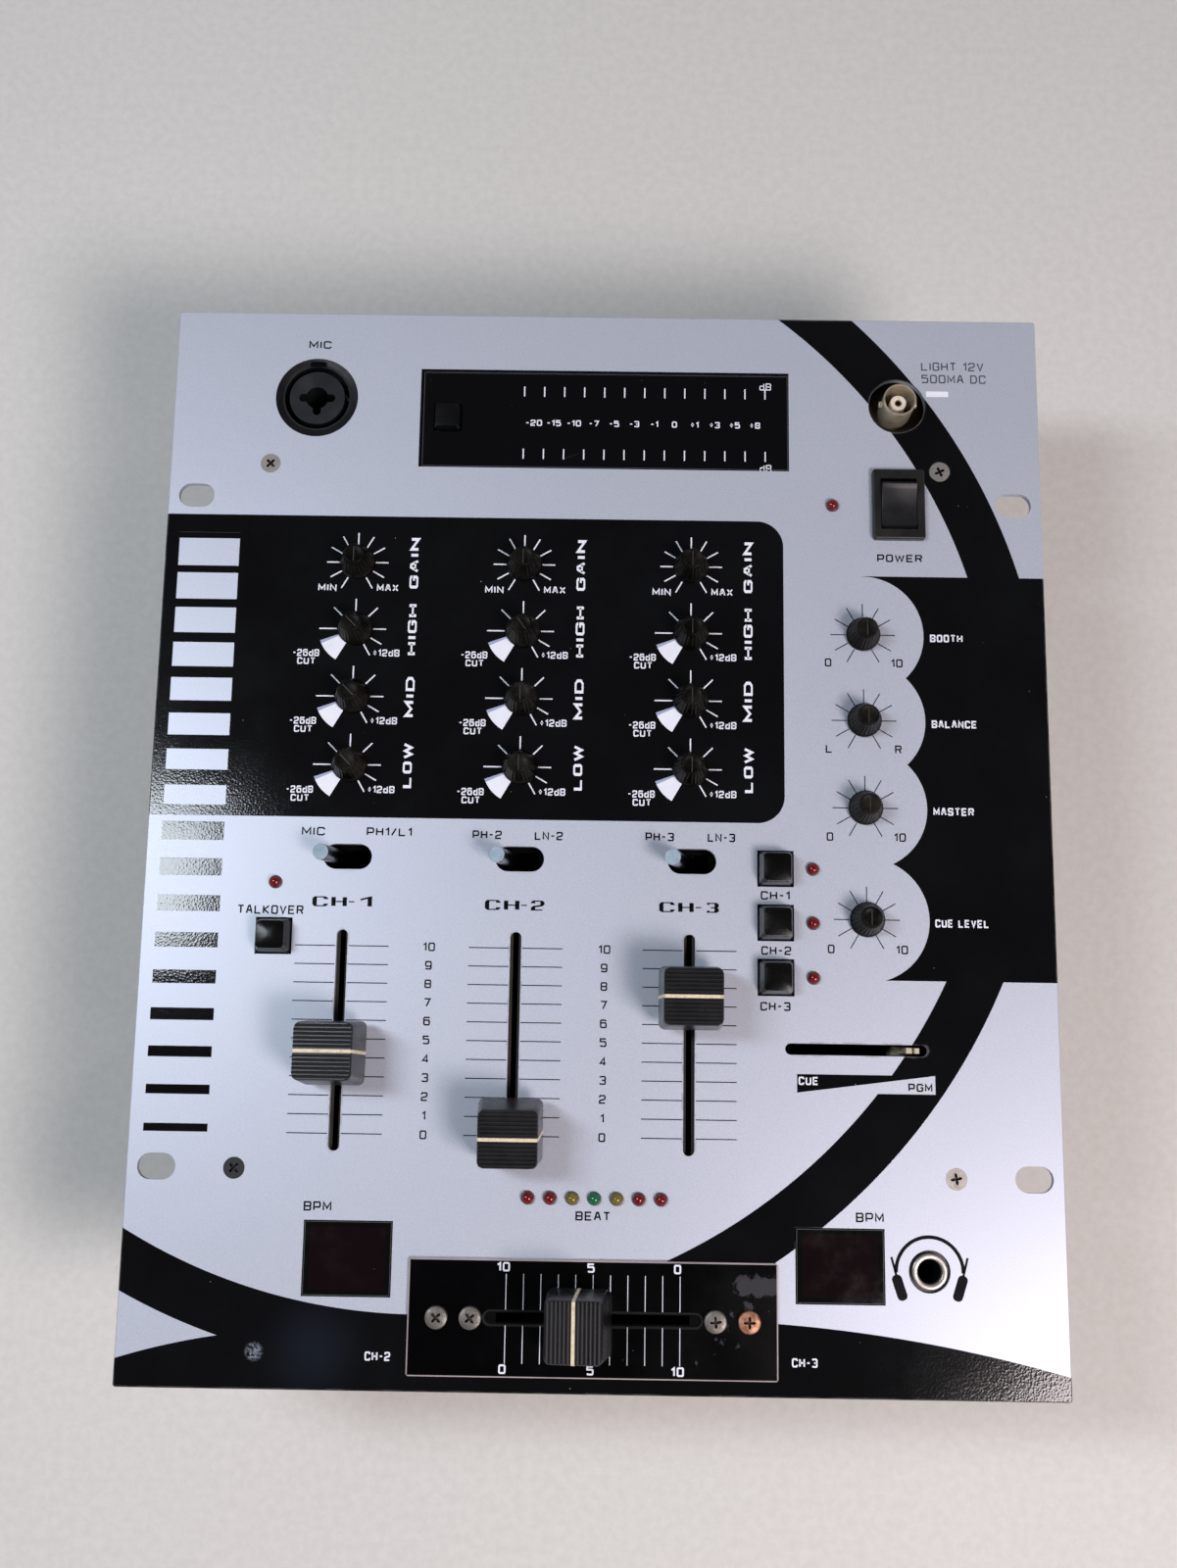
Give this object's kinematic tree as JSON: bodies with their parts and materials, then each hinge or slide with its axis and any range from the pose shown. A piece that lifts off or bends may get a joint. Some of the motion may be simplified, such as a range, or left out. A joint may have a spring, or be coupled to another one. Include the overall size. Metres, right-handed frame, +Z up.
{
  "type": "dj mixer",
  "caption": "Table-top audio mixer with a silver and black face plate, channel faders, a crossfader, rotary knobs, toggles, buttons and rack ears on a black sheet-metal case.",
  "frame": {"origin": "centre of the footprint, on the surface that the feet stand on", "axes": "+X to the user's right, +Y from the crossfader towards the rear sockets, +Z up"},
  "size_m": [0.254, 0.3048, 0.1122],
  "materials": {
    "face_paint": "silver metallic paint with black print, fine grain",
    "chassis_paint": "black textured powder coat",
    "black_plate": "black gloss paint, worn",
    "zinc_steel": "zinc plated steel",
    "bright_chrome": "bright plated, turned",
    "knob_plastic": "black plastic, scuffed",
    "cap_plastic": "dark grey moulded plastic with a cream line",
    "button_plastic": "black gloss plastic",
    "socket_plastic": "dark grey moulded plastic",
    "white_plastic": "white insulator",
    "window_acrylic": "smoked black acrylic",
    "red_acrylic": "dark red acrylic",
    "red_lens": "red diffused lens",
    "yellow_lens": "yellow diffused lens",
    "green_lens": "green diffused lens",
    "foot_rubber": "black rubber",
    "board": "green circuit board",
    "switch_case": "black component case",
    "core_steel": "laminated steel"
  },
  "bodies": {
    "case": {"face_plate": "face_paint", "chassis_tray": "chassis_paint", "rear_panel": "chassis_paint", "rubber_feet": "foot_rubber", "chassis_screws": "zinc_steel", "face_plate_screws": "zinc_steel", "control_board": "board", "jack_board": "board", "board_standoffs": "zinc_steel", "power_transformer": "core_steel", "pot_bodies": "switch_case", "fader_bodies": "switch_case", "crossfader_plate": "black_plate", "crossfader_screws": "zinc_steel", "toggle_switch_bodies": "switch_case", "button_switch_bodies": "switch_case", "rocker_frame": "socket_plastic", "red_leds": "red_lens", "yellow_leds": "yellow_lens", "green_led": "green_lens", "meter_window": "window_acrylic", "tempo_windows": "red_acrylic", "display_modules": "switch_case", "mic_combo_socket": "socket_plastic", "lamp_socket": "bright_chrome", "lamp_socket_insulator": "white_plastic", "headphone_socket": "bright_chrome", "phono_sockets": "bright_chrome", "ground_post": "zinc_steel", "mains_inlet": "socket_plastic"},
    "gain_knob_1": {"gain_knob_1": "knob_plastic"},
    "gain_knob_2": {"gain_knob_2": "knob_plastic"},
    "gain_knob_3": {"gain_knob_3": "knob_plastic"},
    "high_knob_1": {"high_knob_1": "knob_plastic"},
    "high_knob_2": {"high_knob_2": "knob_plastic"},
    "high_knob_3": {"high_knob_3": "knob_plastic"},
    "mid_knob_1": {"mid_knob_1": "knob_plastic"},
    "mid_knob_2": {"mid_knob_2": "knob_plastic"},
    "mid_knob_3": {"mid_knob_3": "knob_plastic"},
    "low_knob_1": {"low_knob_1": "knob_plastic"},
    "low_knob_2": {"low_knob_2": "knob_plastic"},
    "low_knob_3": {"low_knob_3": "knob_plastic"},
    "booth_knob": {"booth_knob": "knob_plastic"},
    "balance_knob": {"balance_knob": "knob_plastic"},
    "master_knob": {"master_knob": "knob_plastic"},
    "cue_level_knob": {"cue_level_knob": "knob_plastic"},
    "channel_fader_1": {"channel_fader_1": "cap_plastic"},
    "channel_fader_2": {"channel_fader_2": "cap_plastic"},
    "channel_fader_3": {"channel_fader_3": "cap_plastic"},
    "crossfader": {"crossfader": "cap_plastic"},
    "cue_fader_lever": {"cue_fader_lever": "zinc_steel"},
    "input_toggle_1": {"input_toggle_1": "bright_chrome"},
    "input_toggle_2": {"input_toggle_2": "bright_chrome"},
    "input_toggle_3": {"input_toggle_3": "bright_chrome"},
    "talkover_button": {"talkover_button": "button_plastic"},
    "cue_button_1": {"cue_button_1": "button_plastic"},
    "cue_button_2": {"cue_button_2": "button_plastic"},
    "cue_button_3": {"cue_button_3": "button_plastic"},
    "meter_button": {"meter_button": "button_plastic"},
    "power_rocker": {"power_rocker": "button_plastic"}
  },
  "joints": [
    {"name": "gain_knob_1_turn", "type": "hinge", "parent": "case", "child": "gain_knob_1", "pos_m": [-0.071, 0.0755, 0.09], "axis": [0, 0, 1], "range_deg": [-150, 150]},
    {"name": "gain_knob_2_turn", "type": "hinge", "parent": "case", "child": "gain_knob_2", "pos_m": [-0.0228, 0.0755, 0.09], "axis": [0, 0, 1], "range_deg": [-150, 150]},
    {"name": "gain_knob_3_turn", "type": "hinge", "parent": "case", "child": "gain_knob_3", "pos_m": [0.0254, 0.0755, 0.09], "axis": [0, 0, 1], "range_deg": [-150, 150]},
    {"name": "high_knob_1_turn", "type": "hinge", "parent": "case", "child": "high_knob_1", "pos_m": [-0.071, 0.05567, 0.09], "axis": [0, 0, 1], "range_deg": [-195, 105]},
    {"name": "high_knob_2_turn", "type": "hinge", "parent": "case", "child": "high_knob_2", "pos_m": [-0.0228, 0.05567, 0.09], "axis": [0, 0, 1], "range_deg": [-185, 115]},
    {"name": "high_knob_3_turn", "type": "hinge", "parent": "case", "child": "high_knob_3", "pos_m": [0.0254, 0.05567, 0.09], "axis": [0, 0, 1], "range_deg": [-150, 150]},
    {"name": "mid_knob_1_turn", "type": "hinge", "parent": "case", "child": "mid_knob_1", "pos_m": [-0.071, 0.03584, 0.09], "axis": [0, 0, 1], "range_deg": [-195, 105]},
    {"name": "mid_knob_2_turn", "type": "hinge", "parent": "case", "child": "mid_knob_2", "pos_m": [-0.0228, 0.03584, 0.09], "axis": [0, 0, 1], "range_deg": [-150, 150]},
    {"name": "mid_knob_3_turn", "type": "hinge", "parent": "case", "child": "mid_knob_3", "pos_m": [0.0254, 0.03584, 0.09], "axis": [0, 0, 1], "range_deg": [-150, 150]},
    {"name": "low_knob_1_turn", "type": "hinge", "parent": "case", "child": "low_knob_1", "pos_m": [-0.071, 0.01601, 0.09], "axis": [0, 0, 1], "range_deg": [-195, 105]},
    {"name": "low_knob_2_turn", "type": "hinge", "parent": "case", "child": "low_knob_2", "pos_m": [-0.0228, 0.01601, 0.09], "axis": [0, 0, 1], "range_deg": [-150, 150]},
    {"name": "low_knob_3_turn", "type": "hinge", "parent": "case", "child": "low_knob_3", "pos_m": [0.0254, 0.01601, 0.09], "axis": [0, 0, 1], "range_deg": [-150, 150]},
    {"name": "booth_knob_turn", "type": "hinge", "parent": "case", "child": "booth_knob", "pos_m": [0.0746, 0.0559, 0.09], "axis": [0, 0, 1], "range_deg": [-150, 150]},
    {"name": "balance_knob_turn", "type": "hinge", "parent": "case", "child": "balance_knob", "pos_m": [0.0746, 0.0308, 0.09], "axis": [0, 0, 1], "range_deg": [-150, 150]},
    {"name": "master_knob_turn", "type": "hinge", "parent": "case", "child": "master_knob", "pos_m": [0.0746, 0.0057, 0.09], "axis": [0, 0, 1], "range_deg": [-150, 150]},
    {"name": "cue_level_knob_turn", "type": "hinge", "parent": "case", "child": "cue_level_knob", "pos_m": [0.0746, -0.0257, 0.09], "axis": [0, 0, 1], "range_deg": [-150, 150]},
    {"name": "channel_fader_1_slide", "type": "slide", "parent": "case", "child": "channel_fader_1", "axis": [0, 1, 0], "range_m": [-0.0216, 0.0292]},
    {"name": "channel_fader_2_slide", "type": "slide", "parent": "case", "child": "channel_fader_2", "axis": [0, 1, 0], "range_m": [0, 0.0508]},
    {"name": "channel_fader_3_slide", "type": "slide", "parent": "case", "child": "channel_fader_3", "axis": [0, 1, 0], "range_m": [-0.0377, 0.0131]},
    {"name": "crossfader_slide", "type": "slide", "parent": "case", "child": "crossfader", "axis": [1, 0, 0], "range_m": [-0.0191, 0.0273]},
    {"name": "cue_fader_slide", "type": "slide", "parent": "case", "child": "cue_fader_lever", "axis": [1, 0, 0], "range_m": [-0.03, 0]},
    {"name": "input_toggle_1_throw", "type": "hinge", "parent": "case", "child": "input_toggle_1", "pos_m": [-0.0704, -0.0101, 0.078], "axis": [0, 1, 0], "range_deg": [0, 30]},
    {"name": "input_toggle_2_throw", "type": "hinge", "parent": "case", "child": "input_toggle_2", "pos_m": [-0.0222, -0.0101, 0.078], "axis": [0, 1, 0], "range_deg": [0, 30]},
    {"name": "input_toggle_3_throw", "type": "hinge", "parent": "case", "child": "input_toggle_3", "pos_m": [0.026, -0.0101, 0.078], "axis": [0, 1, 0], "range_deg": [0, 30]},
    {"name": "talkover_button_press", "type": "slide", "parent": "case", "child": "talkover_button", "axis": [0, 0, 1], "range_m": [-0.002, 0], "stiffness_N_per_m": 400, "springref_m": 0.001},
    {"name": "cue_button_1_press", "type": "slide", "parent": "case", "child": "cue_button_1", "axis": [0, 0, 1], "range_m": [-0.002, 0], "stiffness_N_per_m": 400, "springref_m": 0.001},
    {"name": "cue_button_2_press", "type": "slide", "parent": "case", "child": "cue_button_2", "axis": [0, 0, 1], "range_m": [-0.002, 0], "stiffness_N_per_m": 400, "springref_m": 0.001},
    {"name": "cue_button_3_press", "type": "slide", "parent": "case", "child": "cue_button_3", "axis": [0, 0, 1], "range_m": [-0.002, 0], "stiffness_N_per_m": 400, "springref_m": 0.001},
    {"name": "meter_button_press", "type": "slide", "parent": "case", "child": "meter_button", "axis": [0, 0, 1], "range_m": [-0.002, 0], "stiffness_N_per_m": 400, "springref_m": 0.001},
    {"name": "power_rocker_tilt", "type": "hinge", "parent": "case", "child": "power_rocker", "pos_m": [0.0854, 0.0948, 0.089], "axis": [1, 0, 0], "range_deg": [-16, 0]}
  ]
}
